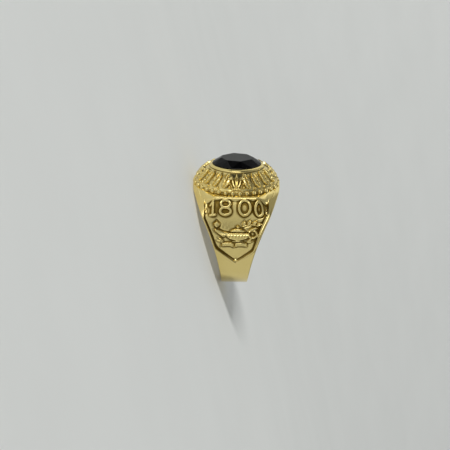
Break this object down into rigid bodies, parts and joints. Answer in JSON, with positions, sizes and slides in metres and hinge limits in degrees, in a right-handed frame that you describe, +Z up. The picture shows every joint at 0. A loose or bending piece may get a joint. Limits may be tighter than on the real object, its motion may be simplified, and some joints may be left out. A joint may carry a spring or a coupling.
{
  "type": "onyx ring",
  "caption": "Class-style signet ring with a domed head, a black faceted oval stone, and sunk shoulder panels that carry relief.",
  "frame": {"origin": "centre of the bounding box at the surface the ring lies on", "axes": "the ring lies on its side: -X towards the stone, which looks along -X and 16 degrees up, +Z up out of the finger hole, Y across the hand"},
  "size_m": [0.0278, 0.0232, 0.0174],
  "materials": {
    "gold": "polished yellow gold with darker recesses",
    "onyx": "polished black onyx"
  },
  "bodies": {
    "root": {"ring_body": "gold", "stone": "onyx"}
  },
  "joints": []
}
